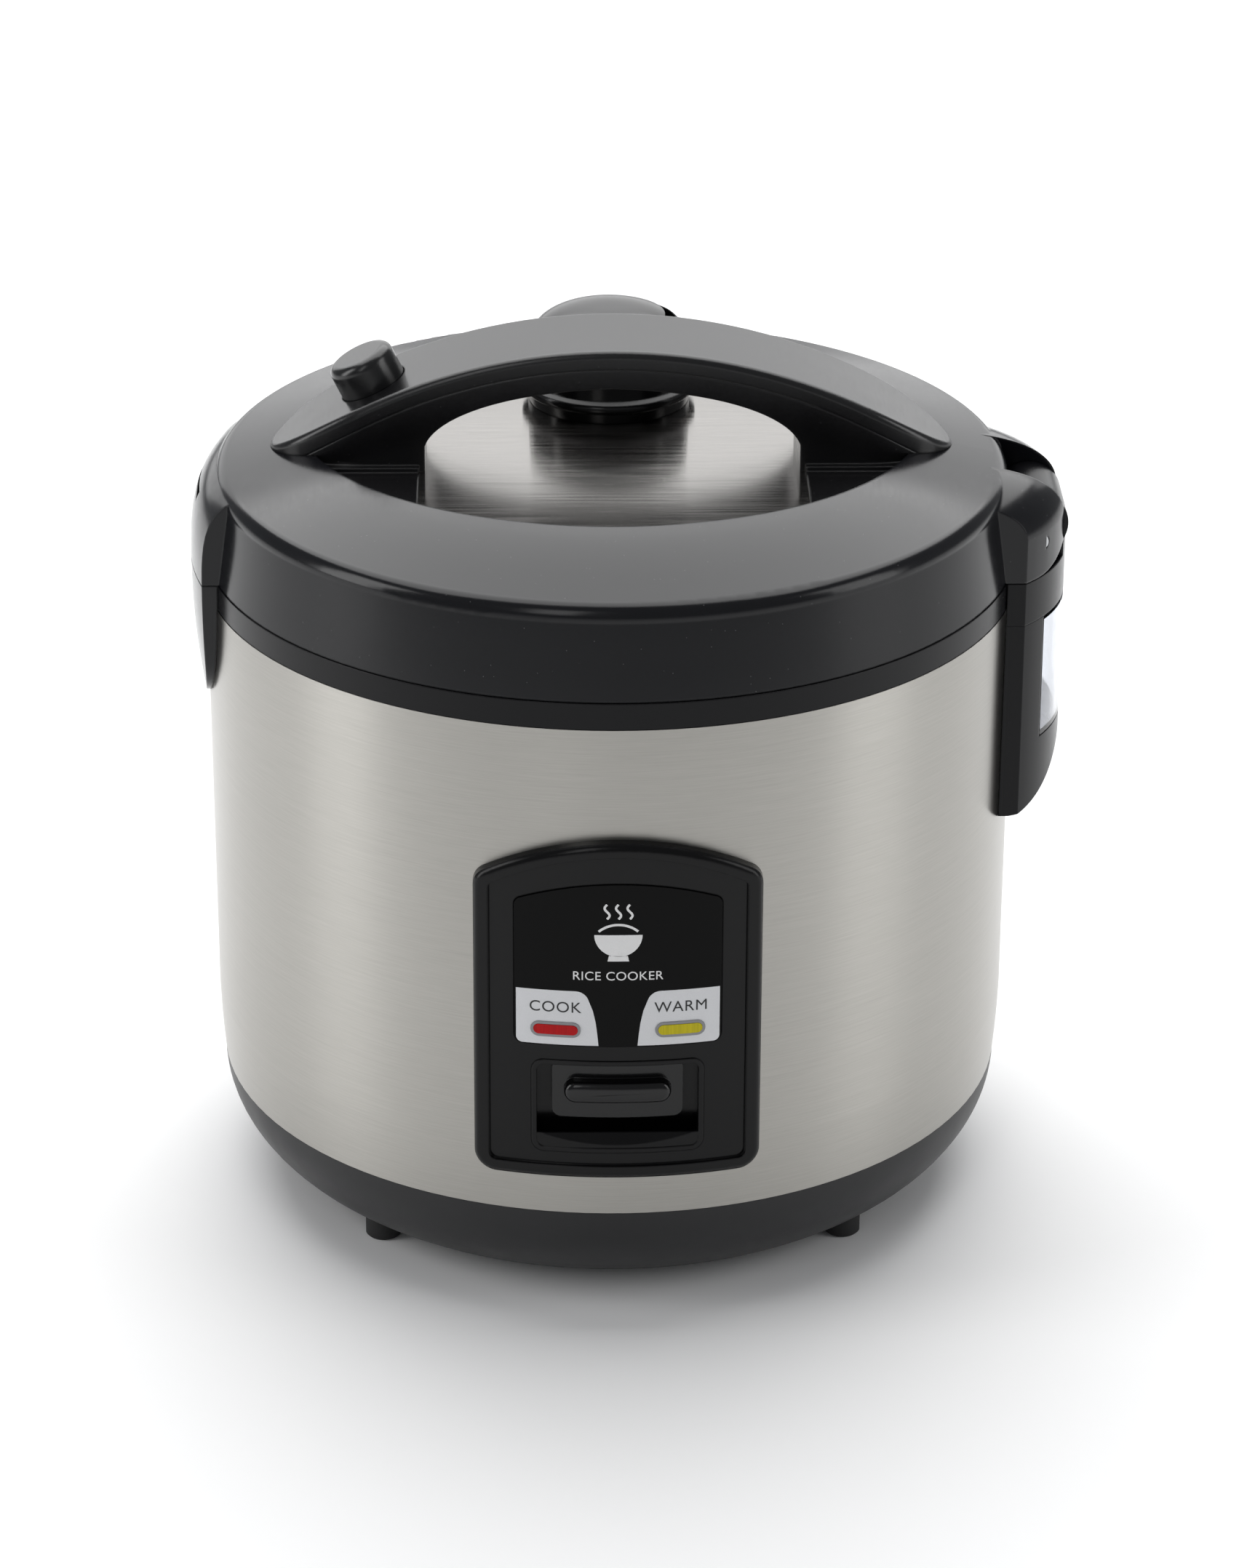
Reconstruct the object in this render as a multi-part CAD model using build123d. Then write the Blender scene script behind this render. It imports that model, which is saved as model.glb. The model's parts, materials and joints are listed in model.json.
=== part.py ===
from build123d import *
import os
from math import cos, radians, sin, sqrt

# Rice cooker, millimetres, +Z up.  The origin lies on the vertical axis of the round body,
# on the surface that the feet stand on.  The control panel faces -Y, the latch is on the
# -X side and the lid's hinge is on the +X side.

# ---- driving dimensions -------------------------------------------------------------

# Heights of the parting lines, from the feet up.
FLOOR_Z = 4.0                # underside of the base bowl
CASING_Z = 40.0              # base bowl to steel casing
COLLAR_Z = 211.8             # steel casing to collar
PARTING_Z = 220.7            # collar to lid
LID_GAP = 0.3                # air between the collar and the closed lid
LID_Z = PARTING_Z + LID_GAP
SHOULDER_Z = 250.6           # lid's shoulder
CROWN_Z = 260.2              # lid's top, at the opening for the inlay
HANDLE_Z = 294.0             # top of the handle

# Radii of the round body.
BASE_R = 131.9               # casing and base bowl where they meet
CASING_R = 133.4             # casing just above its curved foot
COLLAR_R = 134.0             # casing's top and the collar
LINER_R = 111.5              # inner liner, outside
POT_R = 108.0                # inner pot, outside
WALL = 2.5                   # moulded plastic walls
SHEET = 0.8                  # steel casing

# Base bowl.
BOWL_FLAT_R = 104.1
FOOT_R = 6.0
FOOT_X = 76.9
FOOT_Y = 72.7
FOOT_TOP_Z = 9.0

# Lid and handle.
OPENING_R = 102.7            # radius of the two arcs of the inlay's opening
OPENING_OFFSET = 18.0        # how far each arc's centre is from the axis
INLAY_Z = 253.0              # top of the steel inlay
HANDLE_ARC_R = 184.0         # handle's top, seen from the front
HANDLE_HALF_LENGTH = 112.0
HANDLE_HALF_WIDTH = 19.7
HANDLE_SKIN = 6.0            # depth of the handle's top cover
HANDLE_TIP = 30.0            # length over which each end of the handle rounds off
SHELF_X = 63.0               # inner edge of the black shelves at the opening's ends
SHELF_Z = 253.8
LEG_INNER_X = 61.0           # inner face of each handle leg
UNDERSIDE_Z = 281.6          # underside of the grip, at its middle

# Steam vent.
VENT_Y = 50.0
VENT_R = 27.5
VENT_TOP_Z = 285.0

# Lid hinge.
HINGE_X = 139.0
HINGE_Z = 232.0
HINGE_R = 11.0
HINGE_PIN_R = 3.0
HINGE_SIDE_X = 150.4         # outermost point of the hinge and the dew cup
HINGE_PLAN_R = 55.3          # radius of that side, seen from above
HINGE_HALF_WIDTH = 39.0
KNUCKLE_HALF_WIDTH = 14.0
RUNNING = 0.05               # radial clearance of a turning fit

# Latch.
LATCH_SIDE_X = 138.8         # outermost point of the latch side
LATCH_HALF_WIDTH = 38.0

# Release button, on the handle's left end.
BUTTON_X = -78.0
BUTTON_TILT = 26.0           # degrees from vertical, towards the end of the handle
BUTTON_R = 11.0
BUTTON_PROUD = 11.0

# Control panel, on the front of the casing.
PANEL_HALF_WIDTH = 45.75
PANEL_LOW_Z = 56.0
PANEL_TOP_Z = 174.5
PANEL_ARCH_R = 83.0
PANEL_R = 137.0              # face of the panel, from the body's axis
PANEL_RIM_R = 138.2
LABEL_HALF_WIDTH = 33.0
LABEL_LOW_Z = 103.4
LABEL_TOP_Z = 160.6
LAMP_Z = 109.2
LAMP_X = 19.8
LAMP_SIZE = (14.1, 3.4)
WELL_HALF_WIDTH = 27.5
WELL_LOW_Z = 65.0
WELL_TOP_Z = 98.0
WELL_BACK_Y = -126.0

# Cooking mechanism.
ROCKER_Z = 32.25
ROCKER_Y = -38.0
ROCKER_PIN_R = 2.0
PLATE_LOW_Z = 53.0
PLATE_TOP_Z = 67.0
PLATE_R = 92.0
ELEMENT_R = 66.0
POST_SPAN = 56.0             # half the distance between plate posts, along X and along Y
FLOOR_TOP_Z = FLOOR_Z + WALL

# Dew cup.
DEW_LOW_Z = 137.5
DEW_TOP_Z = 211.0
DEW_BACK_X = 137.0
CUP_HALF_WIDTH = 30.0
CUP_LOW_Z = 163.0
CUP_TOP_Z = 204.6

# Inner pot.
POT_BOTTOM_Z = PLATE_TOP_Z
RIM_Z = 214.5                # underside of the pot's rim
POT_WALL = 2.0


# ---- helpers ------------------------------------------------------------------------

def block(x0, x1, y0, y1, z0, z1):
    """Box between two corners."""
    middle = ((x0 + x1) / 2, (y0 + y1) / 2, (z0 + z1) / 2)
    return Pos(*middle) * Box(x1 - x0, y1 - y0, z1 - z0)


def disc(radius, z0, z1, x=0.0, y=0.0):
    """Upright cylinder from z0 to z1."""
    return Pos(x, y, (z0 + z1) / 2) * Cylinder(radius, z1 - z0)


def ring(r_in, r_out, z0, z1, x=0.0, y=0.0):
    """Upright tube from z0 to z1."""
    return disc(r_out, z0, z1, x, y) - disc(r_in, z0, z1, x, y)


def rod_y(radius, y0, y1, x, z):
    """Cylinder along Y."""
    return Pos(x, (y0 + y1) / 2, z) * Rot(90, 0, 0) * Cylinder(radius, y1 - y0)


def rod_x(radius, x0, x1, y, z):
    """Cylinder along X."""
    return Pos((x0 + x1) / 2, y, z) * Rot(0, 90, 0) * Cylinder(radius, x1 - x0)


def closed_face(*edges):
    """Face inside edges that are already joined end to end, closed by a straight line."""
    start = edges[0] @ 0
    end = edges[-1] @ 1
    if (start - end).length > 1e-6:
        edges = edges + (Line(end, start),)
    return make_face(Curve() + list(edges))


def turned(*edges):
    """Solid of revolution about the vertical axis, from edges drawn as (radius, height)."""
    return revolve(Plane.XZ * closed_face(*edges), Axis.Z)


def turned_points(*points):
    """Solid of revolution about the vertical axis, from (radius, height) corners."""
    return turned(Polyline(*points))


def front_prism(face, depth=200.0):
    """Prism in front of the body's axis, from a face drawn as (x, height)."""
    return extrude(Plane.XZ * face, depth)


def wide_prism(face, half_width):
    """Prism along Y, centred on the body's axis, from a face drawn as (x, height)."""
    return extrude(Plane.XZ * face, half_width, both=True)


def pill(x, z, length, height):
    """Face of a horizontal pill centred on (x, height)."""
    return Pos(x, z) * SlotOverall(length, height)


def spring(radius, wire_r, z0, z1, turns, x=0.0, y=0.0):
    """Coil spring standing between two heights."""
    low = z0 + wire_r
    height = z1 - z0 - 2 * wire_r
    path = Pos(x, y, low) * Helix(height / turns, height, radius)
    section = Plane(path @ 0, z_dir=path % 0) * Circle(wire_r)
    return sweep(section, path)


def group(pieces):
    """Separate solids that share one node."""
    return Compound(children=[solid for piece in pieces for solid in piece.solids()])


def at_corners(span):
    """The four points (+-span, +-span)."""
    return [(x, y) for x in (-span, span) for y in (-span, span)]


# ---- shapes that several pieces share -----------------------------------------------

def casing_form(inset=0.0):
    """Solid form of the steel casing, drawn in from its outside by inset."""
    low = (BASE_R - inset, CASING_Z)
    knee = (CASING_R - inset, CASING_Z + 24)
    top = (COLLAR_R - inset, COLLAR_Z)
    foot = Bezier(low, (CASING_R - inset - 0.3, CASING_Z + 12), knee)
    return turned(Line((0, CASING_Z), low), foot, Line(knee, top), Line(top, (0, COLLAR_Z)))


def bowl_form(inset=0.0):
    """Solid form of the base bowl, drawn in from its outside by inset."""
    top = (BASE_R - inset, CASING_Z)
    flat = (BOWL_FLAT_R - inset / 2, FLOOR_Z + inset)
    side = Bezier(flat, (flat[0] + 2, flat[1]), (top[0], 16.3 + inset), top)
    return turned(Line((0, flat[1]), flat), side, Line(top, (0, CASING_Z)))


def lid_form(inset=0.0):
    """Solid form under the lid's outer surface, drawn in from it by inset."""
    wall_low = (133.5 - inset, LID_Z)
    wall_top = (130.2 - inset, SHOULDER_Z - 4.5)
    corner = (129.2 - inset * 0.85, SHOULDER_Z - 0.6 - inset * 0.6)
    shoulder = (126.0 - inset * 0.5, SHOULDER_Z + 1.2 - inset)
    crown = (84.0, CROWN_Z - inset)
    return turned(
        Line((0, LID_Z), wall_low),
        Line(wall_low, wall_top),
        ThreePointArc(wall_top, corner, shoulder),
        Bezier(shoulder, (112.0, CROWN_Z - 5.2 - inset), (98.0, CROWN_Z - 1.6 - inset), crown),
        Line(crown, (0, CROWN_Z - inset)),
    )


def opening_face(grow=0.0):
    """Pointed oval of the inlay's opening, seen from above."""
    radius = OPENING_R + grow
    tip = sqrt(radius**2 - OPENING_OFFSET**2)
    side = radius - OPENING_OFFSET
    back = ThreePointArc((-tip, 0), (0, side), (tip, 0))
    front = ThreePointArc((tip, 0), (0, -side), (-tip, 0))
    return make_face(Curve() + [back, front])


def opening_prism(grow, z0, z1):
    return Pos(0, 0, z0) * extrude(opening_face(grow), z1 - z0)


def hinge_plan(z0, z1, inset=0.0):
    """Upright form of the hinge side: an arc in plan, with flat front and back faces."""
    half = HINGE_HALF_WIDTH - inset
    arc = disc(HINGE_PLAN_R - inset, z0, z1, HINGE_SIDE_X - HINGE_PLAN_R)
    return arc & block(100, 160, -half, half, z0, z1)


def latch_plan(z0, z1):
    """Upright form of the latch side, concentric with the body."""
    return disc(LATCH_SIDE_X, z0, z1) & block(
        -160, -100, -LATCH_HALF_WIDTH, LATCH_HALF_WIDTH, z0, z1)


def hook_pocket(z0, z1):
    """Room for the latch hook, where it passes through the fixed parts."""
    return block(-136, -123.6, -9.5, 9.5, z0, z1)


# ---- base and casing ----------------------------------------------------------------

def rubber_feet():
    feet = []
    foot = turned_points((0, 0), (FOOT_R - 0.8, 0), (FOOT_R, 0.8), (FOOT_R, FOOT_TOP_Z),
                         (0, FOOT_TOP_Z))
    for x in (-FOOT_X, FOOT_X):
        for y in (-FOOT_Y, FOOT_Y):
            feet.append(Pos(x, y, 0) * foot + disc(3, 5, 11, x, y) - bowl_form(0.0))
    return group(feet)


def base_screws():
    """Screws up through the base into the posts under the heating plate."""
    screws = []
    for x, y in at_corners(POST_SPAN):
        head = disc(4.4, FLOOR_Z + 0.4, FLOOR_Z + 1.8, x, y)
        slot = block(x - 3, x + 3, y - 0.5, y + 0.5, FLOOR_Z + 0.4, FLOOR_Z + 1.1)
        screws.append(head + disc(2, FLOOR_Z + 1.8, 22, x, y) - slot)
    return group(screws)


def base_shell(screws):
    """Black bowl under the casing, with a raised lip that centres the casing."""
    bowl = bowl_form() - bowl_form(WALL)
    lip = ring(BASE_R - 3.6, BASE_R - 1.3, CASING_Z - 6, CASING_Z + 5)
    rib = ring(BASE_R - 3.6, BASE_R - 1.0, CASING_Z - 6, CASING_Z)
    bowl = bowl + lip + rib
    for x, y in at_corners(POST_SPAN):
        bowl = bowl - disc(4.6, FLOOR_Z - 1, FLOOR_Z + 1.8, x, y)
    for x in (-24, -12, 0, 12, 24):
        bowl = bowl - block(x - 2, x + 2, 74, 100, 0, 10)
    return bowl - screws


def outer_casing():
    """Steel tube, open behind the panel and at the inlet."""
    tube = casing_form() - casing_form(SHEET)
    window = block(-WELL_HALF_WIDTH - 1, WELL_HALF_WIDTH + 1, -150, 0, WELL_LOW_Z - 1, 117)
    return tube - window - block(-17.2, 17.2, 0, 150, 48.8, 77.2)


def upper_collar():
    """Black ring on top of the casing, with the ledge that carries the liner."""
    body = turned_points(
        (114, 213.5), (114, 210.5), (129.5, 210.5), (129.5, 200), (132.9, 200),
        (132.9, COLLAR_Z), (COLLAR_R - 0.2, COLLAR_Z), (COLLAR_R - 0.2, PARTING_Z),
        (122.5, PARTING_Z), (122.5, 213.5), (114, 213.5))
    return body - hook_pocket(COLLAR_Z, 222)


def inner_liner():
    """Thin drawn shell around the pot, hung from the collar."""
    return turned_points(
        (95, 60), (LINER_R, 60), (LINER_R, 213.5), (121, 213.5), (121, RIM_Z),
        (LINER_R - 1, RIM_Z), (LINER_R - 1, 61), (95, 61), (95, 60))


def keep_warm_heater():
    return ring(LINER_R, LINER_R + 2.5, 120, 178)


# ---- heating ------------------------------------------------------------------------

def heating_element():
    """Tubular element cast into the underside of the plate, with two upturned ends."""
    return Pos(0, 0, PLATE_LOW_Z + 1.5) * Torus(ELEMENT_R, 3.6)


def element_terminals(element):
    """Cold pins of the element, where its wires join."""
    places = [(x, sqrt(ELEMENT_R**2 - x**2)) for x in (-14, 14)]
    return group([disc(2.2, 41, PLATE_LOW_Z, x, y) - element for x, y in places])


def heating_plate(element):
    """Cast plate with a crowned top and a hole for the thermostat."""
    plate = turned_points(
        (21, PLATE_LOW_Z), (PLATE_R - 4, PLATE_LOW_Z), (PLATE_R, PLATE_LOW_Z + 4),
        (PLATE_R, PLATE_TOP_Z - 3), (PLATE_R - 2, PLATE_TOP_Z), (24, PLATE_TOP_Z),
        (21, PLATE_TOP_Z - 2), (21, PLATE_LOW_Z))
    return plate - element


def plate_posts(screws):
    """Posts that carry the heating plate above the base."""
    posts = [disc(5.2, FLOOR_TOP_Z, PLATE_LOW_Z, x, y) for x, y in at_corners(POST_SPAN)]
    return group([post - screws for post in posts])


def thermal_fuse():
    """Fuse capsule under a clip on the plate."""
    capsule = rod_x(2.6, 34, 50, 18, PLATE_LOW_Z - 2.6)
    return capsule + rod_x(0.7, 28, 56, 18, PLATE_LOW_Z - 2.6)


def warm_thermostat():
    """Button thermostat that holds the keep-warm heat."""
    can = disc(8, 47, PLATE_LOW_Z, -42, 12)
    blades = block(-46, -45, 9, 15, 41, 47) + block(-39, -38, 9, 15, 41, 47)
    return can + blades


# ---- centre thermostat and cooking lever --------------------------------------------

def thermostat_housing():
    """Can that guides the sensor cap, with a hole in its floor for the magnet's rod."""
    tube = ring(17.8, 19.6, 43, PLATE_TOP_Z - 3)
    floor = ring(2.8, 19.6, 43, 44.5)
    flange = ring(19.6, 24, PLATE_LOW_Z - 1.2, PLATE_LOW_Z)
    return tube + floor + flange


def sensor_cap():
    """Sprung cap that touches the pot, with the ferrite fixed inside it."""
    cap = disc(17.2, 50, PLATE_TOP_Z - 0.2) - disc(16, 49, PLATE_TOP_Z - 1.6)
    return fillet(cap.edges().group_by(Axis.Z)[-1], 1.0)


def sensor_ferrite():
    return disc(14.4, 58.5, PLATE_TOP_Z - 1.6)


def magnet_rod():
    """Magnet on its rod; the collar at the bottom rests above the rocker."""
    magnet = disc(10, 48, 52)
    return magnet + disc(2.5, 34, 48) + disc(5, 34, 37)


def rocker_pin():
    return rod_x(ROCKER_PIN_R, -13, 13, ROCKER_Y, ROCKER_Z)


def rocker_arm():
    """Arm that turns the lever's downward push into an upward push on the magnet."""
    bar = block(-6, 6, -121.5, 0.5, ROCKER_Z - 1.25, ROCKER_Z + 1.25)
    barrel = rod_x(4.6, -8.6, 8.6, ROCKER_Y, ROCKER_Z)
    return bar + barrel - rod_x(ROCKER_PIN_R + RUNNING, -20, 20, ROCKER_Y, ROCKER_Z)


def lever_bracket(pin):
    """Pressed bracket on the base, with an ear each side of the rocker."""
    foot = block(-18, 18, ROCKER_Y - 16, ROCKER_Y + 16, FLOOR_TOP_Z, FLOOR_TOP_Z + 1.5)
    ears = [block(x - 1, x + 1, ROCKER_Y - 7, ROCKER_Y + 7, FLOOR_TOP_Z, 39) for x in (-10.5, 10.5)]
    return foot + ears - pin


def microswitch():
    """Switch that the rocker works, on a foot of its own."""
    body = block(13, 23, -88, -68, 20, 33)
    foot = block(14, 22, -86, -70, FLOOR_TOP_Z, 20)
    leaf = block(13, 17, -90, -72, 34.4, 34.9) + block(13, 17, -74, -72, 33, 34.9)
    return body + foot + leaf


def cook_lever():
    """Sliding lever: a finger bar outside, a stem through the well, a push plate inside."""
    face = front_prism(Pos(0, 86) * RectangleRounded(42, 20.2, 3))
    plate = face & ring(131.2, 133.4, 70, 110)
    bar = front_prism(pill(0, 86.4, 33.7, 6.8)) & ring(133.2, 137.6, 70, 110)
    stem = block(-6, 6, -132, -122, 84.5, 90)
    push = block(-8, 8, -124.8, -122, 34.5, 90)
    foot = block(-8, 8, -122.5, -114.5, 34.5, 37)
    return plate + bar + stem + push + foot


# ---- control panel ------------------------------------------------------------------

def panel_outline(inset=0.0):
    """Arched outline of the panel, drawn as (x, height)."""
    half = PANEL_HALF_WIDTH - inset
    low = PANEL_LOW_Z + inset
    arch = PANEL_ARCH_R - inset
    side = PANEL_TOP_Z - PANEL_ARCH_R + sqrt(arch**2 - half**2)
    face = closed_face(
        Polyline((-half, side), (-half, low), (half, low), (half, side)),
        ThreePointArc((half, side), (0, PANEL_TOP_Z - inset), (-half, side)),
    )
    return fillet(face.vertices(), max(7 - inset, 2))


def label_outline(inset=0.0):
    half = LABEL_HALF_WIDTH - inset
    low = LABEL_LOW_Z + inset
    top = LABEL_TOP_Z - inset
    face = closed_face(
        Polyline((-half, top - 6.5), (-half, low), (half, low), (half, top - 6.5)),
        ThreePointArc((half, top - 6.5), (0, top), (-half, top - 6.5)),
    )
    return fillet(face.vertices(), 3)


def well_outline(inset=0.0):
    """Outline of the recess that the cook lever slides in."""
    middle = (WELL_LOW_Z + WELL_TOP_Z) / 2
    height = WELL_TOP_Z - WELL_LOW_Z - 2 * inset
    return Pos(0, middle) * RectangleRounded(2 * (WELL_HALF_WIDTH - inset), height, 4 - inset)


def lamp_outlines(grow=0.0):
    length, height = LAMP_SIZE
    return [pill(x, LAMP_Z, length + 2 * grow, height + 2 * grow) for x in (-LAMP_X, LAMP_X)]


def lamp_lens(side):
    face = lamp_outlines()[side]
    return front_prism(face) & ring(133.0, PANEL_R + 0.9, 100, 120)


def lamp_cuts():
    return [front_prism(face) for face in lamp_outlines()]


def soften_front(plate, radius):
    """Rounds the outer front edge of a curved plate."""
    front = plate.faces().sort_by(lambda face: face.center().Y)[0]
    return fillet(front.edges(), radius)


def panel_bezel():
    """Curved panel with a raised rim, recessed for the label."""
    plate = front_prism(panel_outline()) & ring(130, PANEL_R, 50, 180)
    rim = front_prism(panel_outline()) & ring(130, PANEL_RIM_R, 50, 180)
    rim = soften_front(rim, 2.4) - (front_prism(panel_outline(4.5)) & ring(PANEL_R, 150, 50, 180))
    label = front_prism(label_outline()) & ring(PANEL_R - 0.8, 150, 90, 170)
    return plate + rim - casing_form() - label - front_prism(well_outline()) - lamp_cuts()


def label_plate():
    plate = front_prism(label_outline(0.15)) & ring(PANEL_R - 0.8, PANEL_R + 0.4, 90, 170)
    return plate - lamp_cuts()


def lever_surround():
    """Tub behind the panel that the lever slides in, with a sloping sill below it."""
    depth = front_prism(well_outline(), 160) & block(-60, 60, -160, WELL_BACK_Y, 50, 110)
    tub = depth & ring(0, PANEL_R + 0.3, 50, 110)
    hollow = front_prism(well_outline(1.6), 160) & block(-60, 60, -160, WELL_BACK_Y - 1.6, 50, 110)
    sill_face = Polyline((-140, 64), (-134, 64), (-134, 71.4), (-134.8, 71.4), (-137.3, 67.4),
                         (-140, 67.4))
    sill = extrude(Plane.YZ * closed_face(sill_face), WELL_HALF_WIDTH - 1, both=True)
    tub = tub - hollow + (sill & front_prism(well_outline(0.8)) & ring(0, PANEL_R, 50, 110)
                          & block(-60, 60, -160, WELL_BACK_Y, 50, 110))
    guides = [block(x - 1, x + 1, WELL_BACK_Y, -121.8, 66, 97) for x in (-9.4, 9.4)]
    slot = block(-6.4, 6.4, -130, -120, 76.1, 90.4)
    return tub + guides - slot


def lamp_board():
    """Circuit board behind the lenses."""
    return block(-27, 27, -124.4, -122.8, 100, 118)


def indicator_lamps():
    return group([rod_y(1.6, -131, -124.4, x, LAMP_Z) for x in (-LAMP_X, LAMP_X)])


# ---- power inlet --------------------------------------------------------------------

def power_inlet():
    """Appliance inlet at the back, with its socket."""
    body = block(-17, 17, 116, 135, 49, 77)
    flange = front_prism(Pos(0, 63) * RectangleRounded(42, 36, 4))
    flange = (Rot(0, 0, 180) * flange) & block(-30, 30, 134.2, 136.8, 40, 90)
    socket = block(-12.5, 12.5, 120, 140, 55, 71)
    return body + flange - socket


def inlet_pins():
    """Flat pins inside the socket, with tails behind it."""
    return group([block(x - 1, x + 1, 113, 131, z - 2, z + 2)
                  for x, z in ((-7, 61), (7, 61), (0, 66))])


# ---- latch and hinge on the body ----------------------------------------------------

def latch_cover():
    """Tongue-shaped cover on the casing below the latch."""
    half = LATCH_HALF_WIDTH
    front = closed_face(
        Line((-half, PARTING_Z), (half, PARTING_Z)),
        Bezier((half, PARTING_Z), (half - 1, 196), (half - 6, 172.5), (0, 172)),
        Bezier((0, 172), (6 - half, 172.5), (1 - half, 196), (-half, PARTING_Z)),
    )
    tongue = extrude(Plane.YZ * front, -200)
    side = turned(
        Line((0, PARTING_Z), (LATCH_SIDE_X, PARTING_Z)),
        Bezier((LATCH_SIDE_X, PARTING_Z), (LATCH_SIDE_X, 196), (136.5, 184), (134.6, 171.5)),
        Line((134.6, 171.5), (0, 171.5)),
    )
    cover = side & tongue & block(-160, -100, -half, half, 171, PARTING_Z)
    return cover - disc(COLLAR_R - 0.2, COLLAR_Z, 230) - casing_form() - hook_pocket(212, 222)


def latch_strike():
    """Steel strike in the pocket that the hook enters."""
    plate = block(-136, -134.9, -9, 9, 212, 219.6)
    return plate + block(-135, -134, -9, 9, 216.6, 218)


def hinge_bracket(pin):
    """Bracket on the casing with the middle knuckle of the lid's hinge."""
    band = hinge_plan(205, PARTING_Z) - disc(COLLAR_R + 0.02, 200, 230)
    knuckle = rod_y(HINGE_R, -KNUCKLE_HALF_WIDTH, KNUCKLE_HALF_WIDTH, HINGE_X, HINGE_Z)
    neck = block(HINGE_X - HINGE_R + 0.6, HINGE_X + 20, -KNUCKLE_HALF_WIDTH,
                 KNUCKLE_HALF_WIDTH, 214, HINGE_Z) & hinge_plan(200, 240)
    neck = neck - disc(COLLAR_R + 0.02, 200, PARTING_Z)
    bracket = band + knuckle + neck
    return bracket - pin - block(120, 160, -60, 60, 204, 206)


def hinge_pin():
    return rod_y(HINGE_PIN_R, -30, 30, HINGE_X, HINGE_Z)


# ---- dew collector ------------------------------------------------------------------

def dew_side(inset=0.0):
    """Form of the collector seen from the side: its lower end curves in to the casing."""
    right = 152 - inset
    face = closed_face(
        Polyline((100, DEW_TOP_Z - 5), (right, DEW_TOP_Z - 5), (right, 168)),
        Bezier((right, 168), (150.4 - inset, 150), (144 - inset, 139.5), (131, DEW_LOW_Z)),
        Line((131, DEW_LOW_Z), (100, DEW_LOW_Z)),
    )
    return wide_prism(face, 60)


def cup_form(inset=0.0):
    """Form of the dew cup, flush with the outside of its cradle."""
    half = CUP_HALF_WIDTH - inset
    low = CUP_LOW_Z + inset
    inner = block(DEW_BACK_X + 0.4 + inset, 160, -half, half, low, CUP_TOP_Z)
    return inner & hinge_plan(low, CUP_TOP_Z, inset) & dew_side(inset)


def dew_cup():
    """Cup that catches the water that runs off the lid; it pulls straight out."""
    return cup_form() - Pos(0, 0, 0.01) * cup_form(1.4)


def dew_cup_holder():
    """Cradle on the casing, open outwards where the cup sits."""
    form = hinge_plan(DEW_LOW_Z, 206) & dew_side()
    half = CUP_HALF_WIDTH + 0.4
    cavity = block(DEW_BACK_X, 160, -half, half, CUP_LOW_Z - 0.4, 207)
    return form - casing_form() - cavity


# ---- inner pot ----------------------------------------------------------------------

def inner_pot():
    """Drawn pot with a rounded foot and a flat rim."""
    def form(inset):
        foot_r = 14 - inset
        low = (POT_R - 14, POT_BOTTOM_Z + inset)
        side = (POT_R - inset, POT_BOTTOM_Z + 14)
        middle = (POT_R - 14 + foot_r * cos(radians(45)), side[1] - foot_r * sin(radians(45)))
        return turned(Line((0, low[1]), low), ThreePointArc(low, middle, side),
                      Line(side, (POT_R - inset, RIM_Z + 3)),
                      Line((POT_R - inset, RIM_Z + 3), (0, RIM_Z + 3)))
    rim_low = (117, RIM_Z)
    rim_top = (117, RIM_Z + 3)
    rim = turned(Line((POT_R - POT_WALL, RIM_Z), rim_low),
                 ThreePointArc(rim_low, (118.5, RIM_Z + 1.5), rim_top),
                 Line(rim_top, (POT_R - POT_WALL, RIM_Z + 3)))
    return form(0) - form(POT_WALL) + rim


# ---- lid ----------------------------------------------------------------------------

def lid_latch_bulge():
    """Swelling of the lid above the latch, which flows out of the lid's top."""
    side = turned(
        Line((0, LID_Z), (LATCH_SIDE_X, LID_Z)),
        Bezier((LATCH_SIDE_X, LID_Z), (138.6, 240), (136.5, 250.0), (119.0, 253.2)),
        Line((119.0, 253.2), (0, 253.2)),
    )
    return side & block(-160, -110, -LATCH_HALF_WIDTH, LATCH_HALF_WIDTH, LID_Z, 260)


def lid_hinge_lobes():
    """Two lobes of the lid, each side of the body's knuckle, round about the hinge."""
    middle = HINGE_SIDE_X - HINGE_PLAN_R
    form = turned(
        Line((0, LID_Z), (HINGE_PLAN_R, LID_Z)),
        Line((HINGE_PLAN_R, LID_Z), (HINGE_PLAN_R, 236)),
        Bezier((HINGE_PLAN_R, 236), (HINGE_PLAN_R - 0.6, 247), (40, 251.6), (24, 253.4)),
        Line((24, 253.4), (0, 253.4)),
    )
    half = HINGE_HALF_WIDTH
    lobes = Pos(middle, 0, 0) * form & block(112, 160, -half, half, LID_Z, 260)
    swing = rod_y(HINGE_R, -60, 60, HINGE_X, HINGE_Z)
    lobes = lobes - (block(HINGE_X, 160, -60, 60, 220, HINGE_Z) - swing)
    gap = KNUCKLE_HALF_WIDTH + 0.5
    return lobes - block(112, 160, -gap, gap, 220, 260)


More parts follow.
